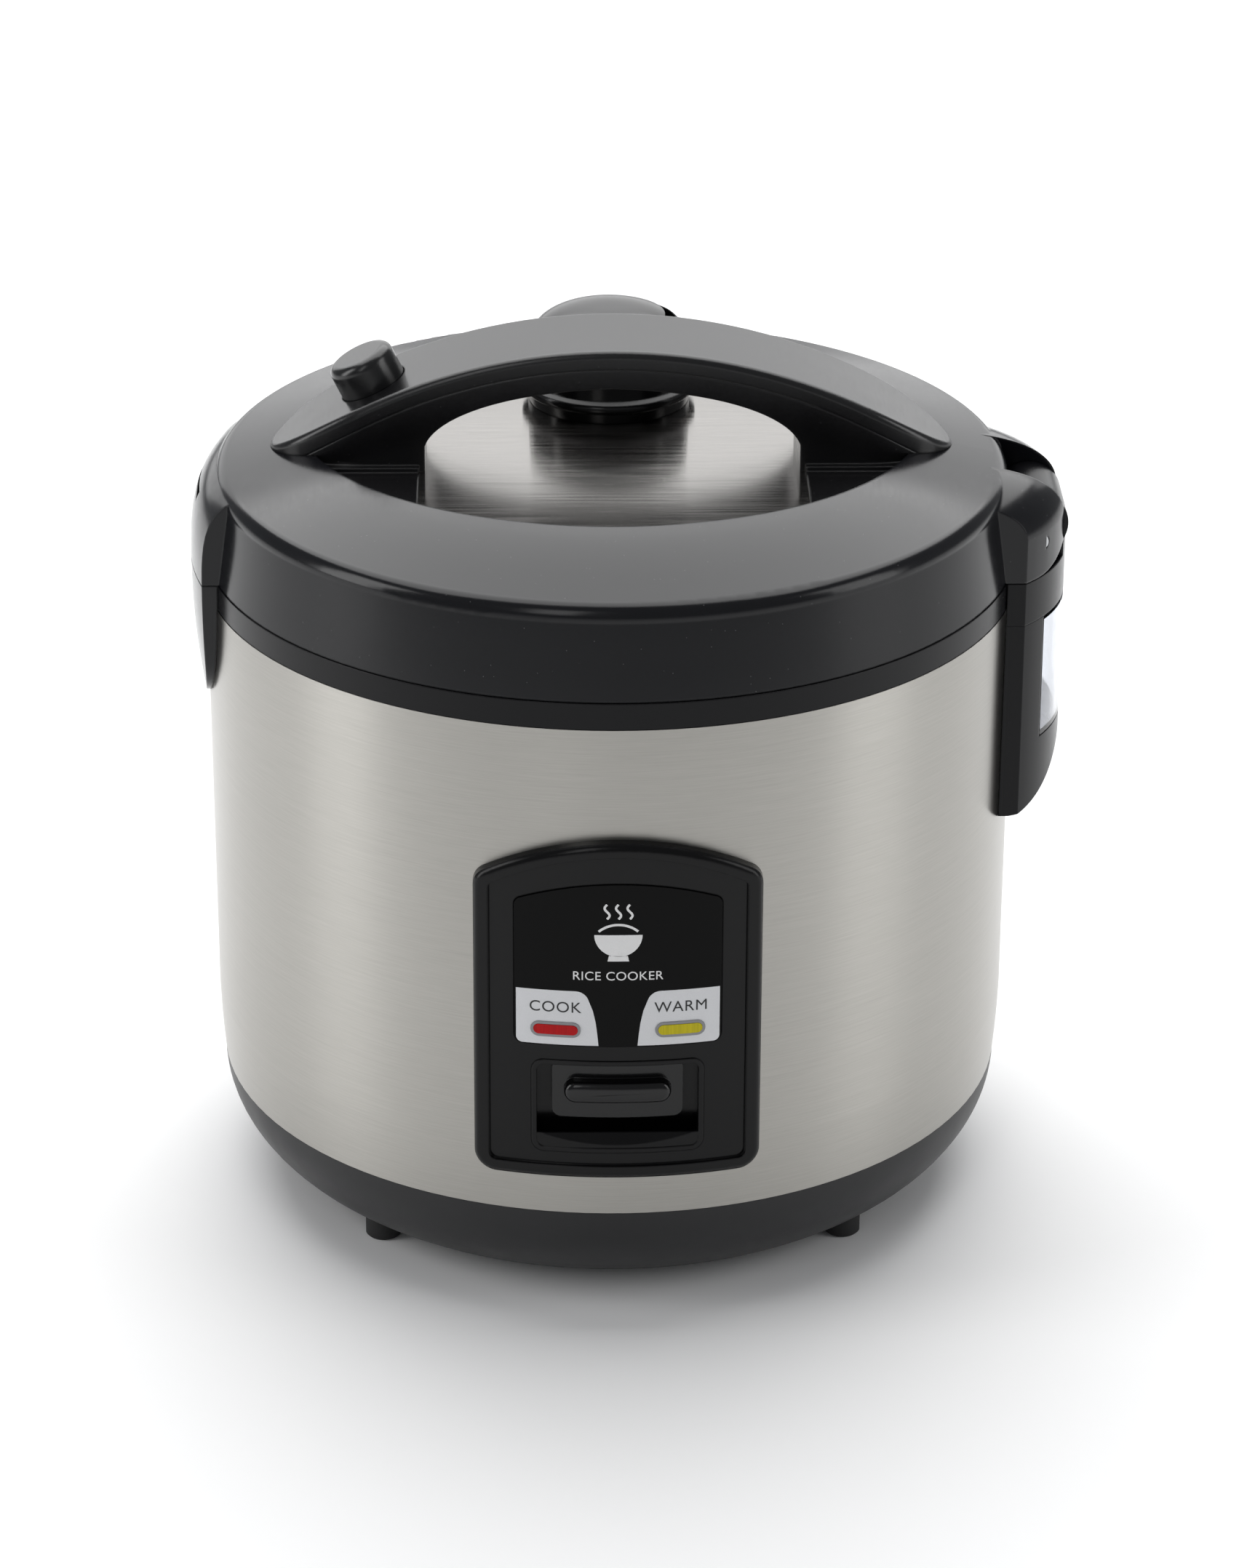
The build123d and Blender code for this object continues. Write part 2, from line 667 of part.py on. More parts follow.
def lid_shell():
    """Black ring of the lid: outer skin, wall of the oval opening, latch and hinge sides."""
    solid = lid_form()
    hollow = lid_form(WALL) - opening_prism(WALL, INLAY_Z, CROWN_Z + 1)
    shell = solid + lid_latch_bulge() + lid_hinge_lobes()
    shell = shell - hollow - opening_prism(0, 200, 300)
    gap = KNUCKLE_HALF_WIDTH + 0.5
    shell = shell - block(HINGE_X - HINGE_R - 0.8, 160, -gap, gap, 220, HINGE_Z + HINGE_R + 0.8)
    shell = shell - rod_y(HINGE_PIN_R + RUNNING, -30.5, 30.5, HINGE_X, HINGE_Z)
    return shell - block(-136, -119, -11, 11, 220, 243)


def lid_inlay_plate():
    """Brushed steel plate that closes the oval opening from below."""
    plate = opening_prism(WALL, INLAY_Z - 1, INLAY_Z)
    vent_hole = disc(24.1, 240, 260, 0, VENT_Y)
    prong_slot = block(-80.5, -69, -4, 4, 240, 260)
    return plate - vent_hole - prong_slot


def lid_liner():
    """Underside of the lid, which closes the ring from below."""
    liner = turned_points(
        (0, 226), (112, 226), (117, LID_Z + 0.5), (130.3, LID_Z + 0.5), (130.3, 224),
        (118.5, 224), (113.3, 228.5), (0, 228.5), (0, 226))
    vent_hole = disc(24.1, 220, 230, 0, VENT_Y)
    hook_gap = block(-136, -119, -11, 11, 220, 230)
    hinge_gap = block(126.5, 140, -16, 16, 220, 230)
    return liner - vent_hole - hook_gap - hinge_gap


def inner_lid_plate():
    """Lift-out inner lid with steam holes and a centre hub that plugs into the liner."""
    dish = turned_points(
        (0, 221.6), (100, 221.6), (104, 219.4), (111, 219.4), (111, 220.6), (104.4, 220.6),
        (100.4, 222.8), (0, 222.8), (0, 221.6))
    hub = disc(9, 222.8, 226)
    holes = [disc(2, 220, 224, 16 * cos(radians(a)), VENT_Y + 16 * sin(radians(a)))
             for a in range(0, 360, 60)]
    return dish + hub - holes


def lid_gasket():
    """Rubber ring that seals the pot's rim."""
    return turned_points(
        (106.5, 218), (117.2, 217.9), (117.2, 219.6), (114, 221.2), (106, 219.4),
        (106.5, 218)) - inner_lid_plate()


def vent_seat():
    """Socket for the vent cap, through the inlay and the liner."""
    return ring(21.5, 24, 224.5, INLAY_Z + 6, 0, VENT_Y)


def vent_cap():
    """Domed steam cap with a rim and a crescent slot at each side."""
    outer = turned(
        Polyline((0, INLAY_Z + 0.02), (26.9, INLAY_Z + 0.02), (27.3, 256.6), (28.9, 257.2)),
        ThreePointArc((28.9, 257.2), (29.2, 258.6), (28.7, 260)),
        Line((28.7, 260), (VENT_R - 0.4, 261)),
        Line((VENT_R - 0.4, 261), (VENT_R - 0.9, 273.5)),
        Bezier((VENT_R - 0.9, 273.5), (26.2, 279.5), (19.5, 283.2), (12, 284.4)),
        Bezier((12, 284.4), (8, VENT_TOP_Z), (4, VENT_TOP_Z), (0, VENT_TOP_Z)),
    )
    hollow = turned_points((0, 240), (24.6, 240), (24.4, 274), (17, 280.4), (0, 282.4))
    slots = []
    for turn in (0, 180):
        sector = Polyline((0, 0), (40 * cos(radians(58)), 40 * sin(radians(58))), (40, 0),
                          (40 * cos(radians(58)), -40 * sin(radians(58))), (0, 0))
        wedge = Pos(0, 0, 270) * extrude(closed_face(sector), 30)
        slots.append(Rot(0, 0, turn) * (ring(18.8, 23.0, 270, 300) & wedge))
    return Pos(0, VENT_Y, 0) * (outer - hollow - slots)


# ---- handle and release button ------------------------------------------------------

def handle_top_z(x, drop=0.0):
    """Height of the handle's top arc at x, or of the arc that lies drop below it."""
    radius = HANDLE_ARC_R - drop
    return HANDLE_Z - HANDLE_ARC_R + sqrt(radius**2 - x**2)


def handle_slab(drop):
    """Everything under an arc that is parallel to the handle's top."""
    end = HANDLE_HALF_LENGTH + 2
    side = handle_top_z(end, drop)
    face = closed_face(
        Polyline((-end, side), (-end, 200), (end, 200), (end, side)),
        ThreePointArc((end, side), (0, HANDLE_Z - drop), (-end, side)),
    )
    return wide_prism(face, 80)


def handle_plan():
    """Outline of the handle from above: straight sides and elliptical ends."""
    straight = HANDLE_HALF_LENGTH - HANDLE_TIP
    half = HANDLE_HALF_WIDTH
    face = closed_face(
        Line((-straight, -half), (straight, -half)),
        EllipticalCenterArc((straight, 0), HANDLE_TIP, half, -90, arc_size=180),
        Line((straight, half), (-straight, half)),
        EllipticalCenterArc((-straight, 0), HANDLE_TIP, half, 90, arc_size=180),
    )
    return Pos(0, 0, 200) * extrude(face, 120)


def shelves():
    """Black shelves that fill the ends of the opening under the handle's legs."""
    floor = opening_prism(-0.02, INLAY_Z, SHELF_Z)
    plinth = block(-200, 200, -HANDLE_HALF_WIDTH - 2.5, HANDLE_HALF_WIDTH + 2.5, INLAY_Z,
                   SHELF_Z + 1.6) & opening_prism(-0.02, INLAY_Z, 260)
    return floor + plinth - block(-SHELF_X, SHELF_X, -100, 100, 240, 270)


def handle_form():
    """Whole handle: an arch whose legs stand on the shelves and whose tips lie on the ring."""
    slab = handle_slab(0.0) & handle_plan()
    rim = slab.edges().filter_by(lambda edge: edge.center().Z > 250)
    rounded = fillet(rim, 2.2)
    under = closed_face(
        Line((LEG_INNER_X, 200), (LEG_INNER_X, 262)),
        Bezier((LEG_INNER_X, 262), (58, 271), (38, 280.5), (0, UNDERSIDE_Z)),
        Bezier((0, UNDERSIDE_Z), (-38, 280.5), (-58, 271), (-LEG_INNER_X, 262)),
        Line((-LEG_INNER_X, 262), (-LEG_INNER_X, 200)),
    )
    above_plate = block(-200, 200, -60, 60, INLAY_Z, 320)
    ring_cut = lid_form() - opening_prism(0, 200, 300)
    return ((rounded - wide_prism(under, 60)) & above_plate) + shelves() - ring_cut


def button_plane():
    """Plane on the handle's top at the button, with its normal along the button's axis."""
    tilt = radians(BUTTON_TILT)
    return Plane((BUTTON_X, 0, handle_top_z(BUTTON_X)), x_dir=(cos(tilt), 0, sin(tilt)),
                 z_dir=(-sin(tilt), 0, cos(tilt)))


def button_local(radius, low, high):
    """Cylinder on the button's axis, from low to high above the handle's top."""
    return button_plane() * Pos(0, 0, (low + high) / 2) * Cylinder(radius, high - low)


def button_bore():
    """Room in the handle for the button, its spring and its prong."""
    prong_room = block(-82, -67.5, -4, 4, 240, 268)
    return button_local(BUTTON_R + 0.35, -13.5, 30) + prong_room


def handle_cover(form):
    """Top cover of the handle."""
    return form - handle_slab(HANDLE_SKIN) - button_bore()


def handle_base(form, screws):
    """Lower part of the handle with both legs."""
    return (form & handle_slab(HANDLE_SKIN)) - button_bore() - screws


def handle_screws():
    """Screws up through the inlay into the handle's legs."""
    screws = []
    for x in (-88, 88):
        for y in (-8, 8):
            screws.append(disc(3.6, INLAY_Z - 3.2, INLAY_Z - 1, x, y)
                          + disc(1.8, INLAY_Z - 1, INLAY_Z + 6, x, y))
    return group(screws)


def release_button():
    """Round button with a soft edge, and the prong that works the latch slide."""
    top = button_local(BUTTON_R, -6.5, BUTTON_PROUD)
    rim = top.edges().filter_by(GeomType.CIRCLE).sort_by(Axis.Z)[-1]
    button = fillet(rim, 3.0)
    spigot = button_local(4.0, -8.5, -6)
    prong = block(-77.5, -74, -3, 3, 233.5, 268)
    return button + spigot + prong


def button_spring():
    coil = spring(7.6, 0.7, -13.4, -6.7, 2.5)
    return button_plane() * coil


def latch_slide():
    """Bar that the button's prong draws inwards, with the hook at its outer end."""
    bar = block(-131, -66, -7, 7, 231, 233.2)
    window = block(-85.5, -71.5, -4.5, 4.5, 230, 234)
    hook = block(-131, -128, -7, 7, 212.5, 233.2)
    nose = block(-133.2, -130, -7, 7, 212.5, 215)
    return bar - window + hook + nose


# ---- build and write ----------------------------------------------------------------

def build():
    """All nodes, by name."""
    screws = base_screws()
    element = heating_element()
    pin = rocker_pin()
    hinge = hinge_pin()
    handle = handle_form()
    handle_fixings = handle_screws()
    plate = lid_inlay_plate()
    return {
        "base_shell": base_shell(screws),
        "rubber_feet": rubber_feet(),
        "base_screws": screws,
        "outer_casing": outer_casing(),
        "upper_collar": upper_collar(),
        "inner_liner": inner_liner(),
        "keep_warm_heater": keep_warm_heater(),
        "heating_plate": heating_plate(element),
        "heating_element": element,
        "element_terminals": element_terminals(element),
        "plate_posts": plate_posts(screws),
        "thermal_fuse": thermal_fuse(),
        "warm_thermostat": warm_thermostat(),
        "thermostat_housing": thermostat_housing(),
        "sensor_cap": sensor_cap(),
        "sensor_ferrite": sensor_ferrite(),
        "sensor_spring": spring(12.4, 0.7, 44.5, 58.5, 4),
        "magnet_rod": magnet_rod(),
        "rocker_arm": rocker_arm(),
        "rocker_pin": pin,
        "lever_bracket": lever_bracket(pin),
        "microswitch": microswitch(),
        "cook_lever": cook_lever(),
        "panel_bezel": panel_bezel(),
        "label_plate": label_plate(),
        "cook_lamp_lens": lamp_lens(0),
        "warm_lamp_lens": lamp_lens(1),
        "lever_surround": lever_surround(),
        "lamp_board": lamp_board(),
        "indicator_lamps": indicator_lamps(),
        "power_inlet": power_inlet() - inlet_pins(),
        "inlet_pins": inlet_pins(),
        "latch_cover": latch_cover(),
        "latch_strike": latch_strike(),
        "hinge_bracket": hinge_bracket(hinge),
        "hinge_pin": hinge,
        "dew_cup_holder": dew_cup_holder(),
        "dew_cup": dew_cup(),
        "inner_pot": inner_pot(),
        "lid_shell": lid_shell(),
        "lid_inlay_plate": plate - handle_fixings,
        "lid_liner": lid_liner(),
        "inner_lid_plate": inner_lid_plate(),
        "lid_gasket": lid_gasket(),
        "vent_seat": vent_seat(),
        "vent_cap": vent_cap(),
        "handle_cover": handle_cover(handle),
        "handle_base": handle_base(handle, handle_fixings),
        "handle_screws": handle_fixings,
        "release_button": release_button(),
        "button_spring": button_spring(),
        "latch_slide": latch_slide(),
    }


def write(nodes):
    os.makedirs("parts", exist_ok=True)
    for name, shape in nodes.items():
        export_step(group([shape]), os.path.join("parts", name + ".step"))


write(build())
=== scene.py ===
import json
import math

import bmesh
import bpy
from mathutils import Matrix, Vector


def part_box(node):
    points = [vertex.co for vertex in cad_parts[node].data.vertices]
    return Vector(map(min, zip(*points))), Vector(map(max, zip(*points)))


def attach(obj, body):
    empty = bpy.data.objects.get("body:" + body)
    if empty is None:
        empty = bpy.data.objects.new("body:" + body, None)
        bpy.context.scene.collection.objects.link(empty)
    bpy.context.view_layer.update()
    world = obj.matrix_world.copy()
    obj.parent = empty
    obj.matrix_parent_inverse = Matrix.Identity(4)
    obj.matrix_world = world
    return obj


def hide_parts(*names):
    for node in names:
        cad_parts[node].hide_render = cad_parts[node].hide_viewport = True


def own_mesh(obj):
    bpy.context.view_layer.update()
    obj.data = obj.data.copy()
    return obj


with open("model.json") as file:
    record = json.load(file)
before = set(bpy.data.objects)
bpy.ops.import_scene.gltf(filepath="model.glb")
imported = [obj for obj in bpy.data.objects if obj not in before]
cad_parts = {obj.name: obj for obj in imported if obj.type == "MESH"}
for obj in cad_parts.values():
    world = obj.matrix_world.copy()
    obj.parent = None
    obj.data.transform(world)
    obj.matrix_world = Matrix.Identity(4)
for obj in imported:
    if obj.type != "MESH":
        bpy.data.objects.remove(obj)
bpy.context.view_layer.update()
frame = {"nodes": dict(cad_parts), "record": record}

MM = 0.001

IMAGE_HEIGHT = 2156          # in pixels; the longer side, which the sensor's width spans
FOCAL_LENGTH = 7411.9        # in pixels
SENSOR_WIDTH = 36.0          # in mm

CASING_RADIUS = 0.134        # in metres
LABEL_FACE_R = 137.4         # printed face of the label, from the body's axis, in mm
LABEL_STRIP = 1.0            # width of the strips that the printing is bent in, in mm
PRINT_DEPTH = 0.2            # how far the printing reaches back from its face, in mm
PRINT_LIFT = 0.06            # how far the fields and the pale words stand off, in mm
WORD_LIFT = 0.12             # the same for the black words on the silver fields
FRAME_LIFT = 0.35            # the same for the frames round the lamps

LAMP_X = 19.8                # middle of each lamp, to the side and up, in mm
LAMP_Z = 109.2
LAMP_WORD_Z = 117.2
LAMP_WORD_SIZE = 5.3
TITLE_Z = 128.6
TITLE_SIZE = 4.3
BOWL_Z = 143.0               # rim of the bowl in the pictogram

LEVER_PLATE_R = 133.5        # face of the lever's plate, from the body's axis, in mm
BAR_Z = 86.4
BAR_LENGTH = 34.2
BAR_HEIGHT = 7.2
BAR_PROFILE = ((0.0, 133.2), (0.0, 136.4), (0.25, 137.05), (0.8, 137.6), (1.6, 137.9),
               (2.4, 138.0), (3.2, 138.05))   # (inset, radius from the body's axis), in mm

BUTTON_AXIS = Vector((-0.438371, 0.0, 0.898794))   # the way the button springs back
BUTTON_SPRING_HALF = 3.35    # half the length of the CAD's spring, in mm
SENSOR_SPRING_Z = 44.5       # seat of the sensor's spring, in mm


# ---- camera, floor and lights -------------------------------------------------------

def make_camera():
    azimuth = math.radians(1.15)
    distance, height = 1.6554, 0.89597
    pitch, yaw, roll = 0.4324, 0.0236, 0.00505
    camera = bpy.data.objects.new("camera", bpy.data.cameras.new("camera"))
    bpy.context.collection.objects.link(camera)
    place = Vector((-math.sin(azimuth) * distance, -math.cos(azimuth) * distance, height))
    turn = (Matrix.Rotation(-yaw, 4, "Z") @ Matrix.Rotation(math.pi / 2 - pitch, 4, "X")
            @ Matrix.Rotation(roll, 4, "Z"))
    camera.matrix_world = Matrix.Translation(place) @ turn
    camera.data.sensor_width = SENSOR_WIDTH
    camera.data.lens = FOCAL_LENGTH / IMAGE_HEIGHT * SENSOR_WIDTH
    camera.data.clip_start = 0.05
    bpy.context.scene.camera = camera


def area_light(name, place, target, width, height, power):
    """White softbox at place, facing target; sizes in metres, power in watts."""
    data = bpy.data.lights.new(name, "AREA")
    data.energy = power
    data.shape = "RECTANGLE"
    data.size = width
    data.size_y = height
    light = bpy.data.objects.new(name, data)
    bpy.context.collection.objects.link(light)
    direction = Vector(target) - Vector(place)
    light.matrix_world = (Matrix.Translation(place)
                          @ direction.to_track_quat("-Z", "Y").to_matrix().to_4x4())


def make_studio():
    bpy.context.scene.view_settings.view_transform = "Standard"
    world = bpy.data.worlds.new("studio")
    bpy.context.scene.world = world
    world.use_nodes = True
    background = world.node_tree.nodes["Background"].inputs
    background["Color"].default_value = (0.95, 0.97, 1.0, 1)
    background["Strength"].default_value = 0.26
    for name, place, target, width, height, power in (
            ("back_softbox", (0.0, 2.2, 0.85), (0, 0, 0.25), 3.4, 1.3, 18),
            ("top_softbox", (0.0, 0.8, 1.75), (0, 0, 0.2), 2.4, 2.2, 48),
            ("left_softbox", (-1.5, -0.35, 0.75), (0, 0, 0.15), 0.6, 1.3, 9),
            ("right_softbox", (1.6, -0.5, 0.7), (0, 0, 0.15), 0.7, 1.3, 7),
            ("front_strip", (-0.6, -1.9, 1.5), (0, 0, 0.15), 0.5, 1.3, 4)):
        area_light(name, place, target, width, height, power)
    mesh = bpy.data.meshes.new("floor")
    half = 4.0
    corners = [(-half, -half, 0), (half, -half, 0), (half, half, 0), (-half, half, 0)]
    mesh.from_pydata(corners, [], [(0, 1, 2, 3)])
    floor = bpy.data.objects.new("floor", mesh)
    bpy.context.collection.objects.link(floor)
    floor.data.materials.append(Shader("floor_white", (0.93, 0.93, 0.93), 0.6).material)


# ---- materials ----------------------------------------------------------------------

class Shader:
    """A principled material with small helpers to add procedural detail to it."""

    def __init__(self, name, colour, rough, metallic=0.0, specular=0.5, edge=0.0):
        self.material = bpy.data.materials.new(name)
        self.material.use_nodes = True
        self.nodes = self.material.node_tree.nodes
        self.links = self.material.node_tree.links
        self.main = self.nodes["Principled BSDF"]
        self.main.inputs["Base Color"].default_value = (*colour, 1)
        self.main.inputs["Roughness"].default_value = rough
        self.main.inputs["Metallic"].default_value = metallic
        self.main.inputs["Specular IOR Level"].default_value = specular
        self.colour = colour
        self.rough = rough
        self.normal = None
        if edge:
            bevel = self.nodes.new("ShaderNodeBevel")
            bevel.samples = 4
            bevel.inputs["Radius"].default_value = edge * MM
            self.set_normal(bevel.outputs["Normal"])

    def set_normal(self, socket):
        self.normal = socket
        self.links.new(socket, self.main.inputs["Normal"])

    def math(self, operation, a, b=None):
        node = self.nodes.new("ShaderNodeMath")
        node.operation = operation
        for index, value in enumerate((a, b)):
            if value is None:
                continue
            if isinstance(value, (int, float)):
                node.inputs[index].default_value = value
            else:
                self.links.new(value, node.inputs[index])
        return node.outputs[0]

    def place(self):
        """The point on the object, as separate X, Y and Z in metres."""
        coords = self.nodes.new("ShaderNodeTexCoord")
        split = self.nodes.new("ShaderNodeSeparateXYZ")
        self.links.new(coords.outputs["Object"], split.inputs[0])
        return split.outputs

    def stretched(self, sx, sy, sz):
        """Object coordinates scaled along each axis, in cycles per metre."""
        coords = self.nodes.new("ShaderNodeTexCoord")
        mapping = self.nodes.new("ShaderNodeMapping")
        mapping.inputs["Scale"].default_value = (sx, sy, sz)
        self.links.new(coords.outputs["Object"], mapping.inputs["Vector"])
        return mapping.outputs["Vector"]

    def around(self, along, up):
        """Coordinates round the vertical axis: along the circumference, and up."""
        x, y, z = self.place()
        angle = self.math("ARCTAN2", x, self.math("MULTIPLY", y, -1.0))
        radius = self.math("SQRT", self.math("ADD", self.math("POWER", x, 2.0),
                                             self.math("POWER", y, 2.0)))
        join = self.nodes.new("ShaderNodeCombineXYZ")
        self.links.new(self.math("MULTIPLY", angle, along * CASING_RADIUS), join.inputs[0])
        self.links.new(self.math("MULTIPLY", radius, along), join.inputs[1])
        self.links.new(self.math("MULTIPLY", z, up), join.inputs[2])
        return join.outputs[0]

    def noise(self, vector, detail=3.0, rough=0.5):
        node = self.nodes.new("ShaderNodeTexNoise")
        node.inputs["Scale"].default_value = 1.0
        node.inputs["Detail"].default_value = detail
        node.inputs["Roughness"].default_value = rough
        self.links.new(vector, node.inputs["Vector"])
        return node.outputs["Fac"]

    def spots(self, vector, size):
        """1 on scattered small spots, 0 between them."""
        node = self.nodes.new("ShaderNodeTexVoronoi")
        node.inputs["Scale"].default_value = 1.0
        node.inputs["Randomness"].default_value = 1.0
        self.links.new(vector, node.inputs["Vector"])
        return self.math("LESS_THAN", node.outputs["Distance"], size)

    def spread(self, value, low, high):
        """The middle range of a noise, widened to run from low to high."""
        node = self.nodes.new("ShaderNodeMapRange")
        node.inputs["From Min"].default_value = 0.3
        node.inputs["From Max"].default_value = 0.7
        node.inputs["To Min"].default_value = low
        node.inputs["To Max"].default_value = high
        self.links.new(value, node.inputs["Value"])
        return node.outputs["Result"]

    def vary_rough(self, value, amount):
        """Roughness that runs from amount below the material's own to amount above it."""
        self.links.new(self.spread(value, self.rough - amount, self.rough + amount),
                       self.main.inputs["Roughness"])

    def vary_colour(self, value, other):
        """The material's own colour where value is 0, the other where it is 1."""
        mix = self.nodes.new("ShaderNodeMix")
        mix.data_type = "RGBA"
        mix.inputs["A"].default_value = (*self.colour, 1)
        mix.inputs["B"].default_value = (*other, 1)
        self.links.new(value, mix.inputs["Factor"])
        self.links.new(mix.outputs["Result"], self.main.inputs["Base Color"])

    def bump(self, value, depth, strength=1.0):
        """Relief of the given depth in millimetres."""
        node = self.nodes.new("ShaderNodeBump")
        node.inputs["Strength"].default_value = strength
        node.inputs["Distance"].default_value = depth * MM
        self.links.new(value, node.inputs["Height"])
        if self.normal:
            self.links.new(self.normal, node.inputs["Normal"])
        self.set_normal(node.outputs["Normal"])

    def brushed(self, anisotropic, axis, turn):
        """Highlights stretched across the brushing; turn is a share of a full turn."""
        tangent = self.nodes.new("ShaderNodeTangent")
        tangent.direction_type = "RADIAL"
        tangent.axis = axis
        self.links.new(tangent.outputs["Tangent"], self.main.inputs["Tangent"])
        self.main.inputs["Anisotropic"].default_value = anisotropic
        self.main.inputs["Anisotropic Rotation"].default_value = turn


def casing_steel():
    """Stainless steel brushed round the body."""
    s = Shader("brushed_steel", (0.37, 0.36, 0.335), 0.3, metallic=1.0)
    fine = s.noise(s.around(70.0, 5200.0), detail=2.0, rough=0.6)
    broad = s.noise(s.around(30.0, 2400.0), detail=3.0)
    cloud = s.noise(s.around(9.0, 14.0), detail=2.0)
    s.vary_colour(s.spread(s.math("ADD", s.math("MULTIPLY", fine, 0.6),
                                  s.math("MULTIPLY", broad, 0.4)), 0.0, 1.0),
                  (0.43, 0.418, 0.39))
    s.vary_rough(s.math("ADD", s.math("MULTIPLY", broad, 0.5), s.math("MULTIPLY", cloud, 0.5)),
                 0.025)
    s.bump(fine, 0.004, 0.35)
    s.brushed(0.85, "Z", 0.25)
    return s.material


def inlay_steel():
    """Fine-brushed, nearly mirror-bright steel of the lid's inlay."""
    s = Shader("inlay_steel", (0.27, 0.262, 0.25), 0.14, metallic=1.0)
    fine = s.noise(s.stretched(60.0, 6000.0, 60.0), detail=2.0)
    broad = s.noise(s.stretched(20.0, 700.0, 20.0), detail=2.0)
    s.vary_rough(broad, 0.03)
    s.vary_colour(s.spread(fine, 0.0, 1.0), (0.31, 0.30, 0.287))
    s.bump(fine, 0.0012, 0.2)
    s.brushed(0.9, "X", 0.0)
    return s.material


def gloss_plastic(name, colour, rough, specular=0.5, edge=0.5, dust=0.0, rub=0.04):
    """Moulded gloss plastic: slight waviness, hairline rubs and a few specks of dust."""
    s = Shader(name, colour, rough, specular=specular, edge=edge)
    wave = s.noise(s.stretched(55.0, 55.0, 55.0), detail=1.0)
    hair = s.noise(s.stretched(900.0, 140.0, 900.0), detail=3.0, rough=0.7)
    s.vary_rough(s.math("ADD", s.math("MULTIPLY", wave, 0.4), s.math("MULTIPLY", hair, 0.6)), rub)
    if dust:
        speck = s.math("MULTIPLY", s.spots(s.stretched(330.0, 330.0, 330.0), 0.045), dust)
        s.vary_colour(speck, (0.4, 0.4, 0.4))
    s.bump(wave, 0.02, 0.12)
    return s.material


def satin_plastic(name, colour, rough, grain=2600.0, depth=0.012, edge=0.4, specular=0.5):
    """Plastic from a finely spark-eroded mould."""
    s = Shader(name, colour, rough, specular=specular, edge=edge)
    fine = s.noise(s.stretched(grain, grain, grain), detail=2.0)
    broad = s.noise(s.stretched(40.0, 40.0, 40.0), detail=3.0)
    s.vary_rough(broad, 0.05)
    s.vary_colour(s.spread(broad, 0.0, 1.0), tuple(c * 1.25 for c in colour))
    s.bump(fine, depth, 0.6)
    return s.material


def metal(name, colour, rough, scale=(90.0, 90.0, 2600.0), depth=0.004):
    """Drawn, cast or plated metal with a directional grain."""
    s = Shader(name, colour, rough, metallic=1.0, edge=0.2)
    grain = s.noise(s.stretched(*scale), detail=3.0)
    cloud = s.noise(s.stretched(35.0, 35.0, 35.0), detail=4.0)
    s.vary_rough(cloud, 0.08)
    s.vary_colour(s.spread(cloud, 0.0, 1.0), tuple(min(c * 1.18, 1.0) for c in colour))
    s.bump(grain, depth, 0.5)
    return s.material


def coated():
    """Dark non-stick coating with fine pale flecks."""
    s = Shader("nonstick_coating", (0.035, 0.035, 0.038), 0.38, edge=0.2)
    fleck = s.spots(s.stretched(900.0, 900.0, 900.0), 0.18)
    s.vary_colour(s.math("MULTIPLY", fleck, 0.55), (0.22, 0.22, 0.23))
    s.bump(s.noise(s.stretched(1500.0, 1500.0, 1500.0)), 0.01, 0.5)
    return s.material


def lens(name, colour):
    """Coloured lamp lens, ribbed inside."""
    s = Shader(name, colour, 0.12, specular=0.15, edge=0.3)
    ribs = s.noise(s.stretched(2200.0, 100.0, 100.0), detail=1.0)
    s.vary_colour(s.spread(ribs, 0.0, 0.7), tuple(c * 0.72 for c in colour))
    s.bump(ribs, 0.02, 0.3)
    return s.material


def clear(name, colour):
    """Clear moulded plastic or glass, with faint flow marks."""
    s = Shader(name, colour, 0.05)
    s.main.inputs["Transmission Weight"].default_value = 1.0
    s.main.inputs["IOR"].default_value = 1.46
    flow = s.noise(s.stretched(60.0, 60.0, 160.0), detail=2.0)
    s.vary_rough(flow, 0.03)
    s.bump(flow, 0.05, 0.15)
    return s.material


def board():
    """Phenolic-paper circuit board with a faint weave."""
    s = Shader("circuit_board", (0.30, 0.20, 0.09), 0.45)
    weave = s.noise(s.stretched(3000.0, 3000.0, 900.0), detail=2.0)
    s.vary_colour(s.spread(weave, 0.0, 1.0), (0.38, 0.27, 0.13))
    s.bump(weave, 0.02, 0.4)
    return s.material


def film():
    """Printed foil heater: amber film with bands of conductor."""
    s = Shader("heater_film", (0.55, 0.33, 0.10), 0.35)
    z = s.place()[2]
    bands = s.math("GREATER_THAN", s.math("SINE", s.math("MULTIPLY", z, 1100.0)), 0.2)
    s.vary_colour(s.math("MULTIPLY", bands, 0.7), (0.55, 0.5, 0.42))
    s.bump(bands, 0.05, 0.6)
    return s.material


def printing(name, colour, metallic, rough):
    """Screen-printed ink."""
    s = Shader(name, colour, rough, metallic=metallic)
    grain = s.noise(s.stretched(5000.0, 5000.0, 5000.0), detail=2.0)
    s.vary_colour(s.spread(grain, 0.0, 1.0), tuple(min(c * 1.1, 1.0) for c in colour))
    s.vary_rough(grain, 0.05)
    return s.material


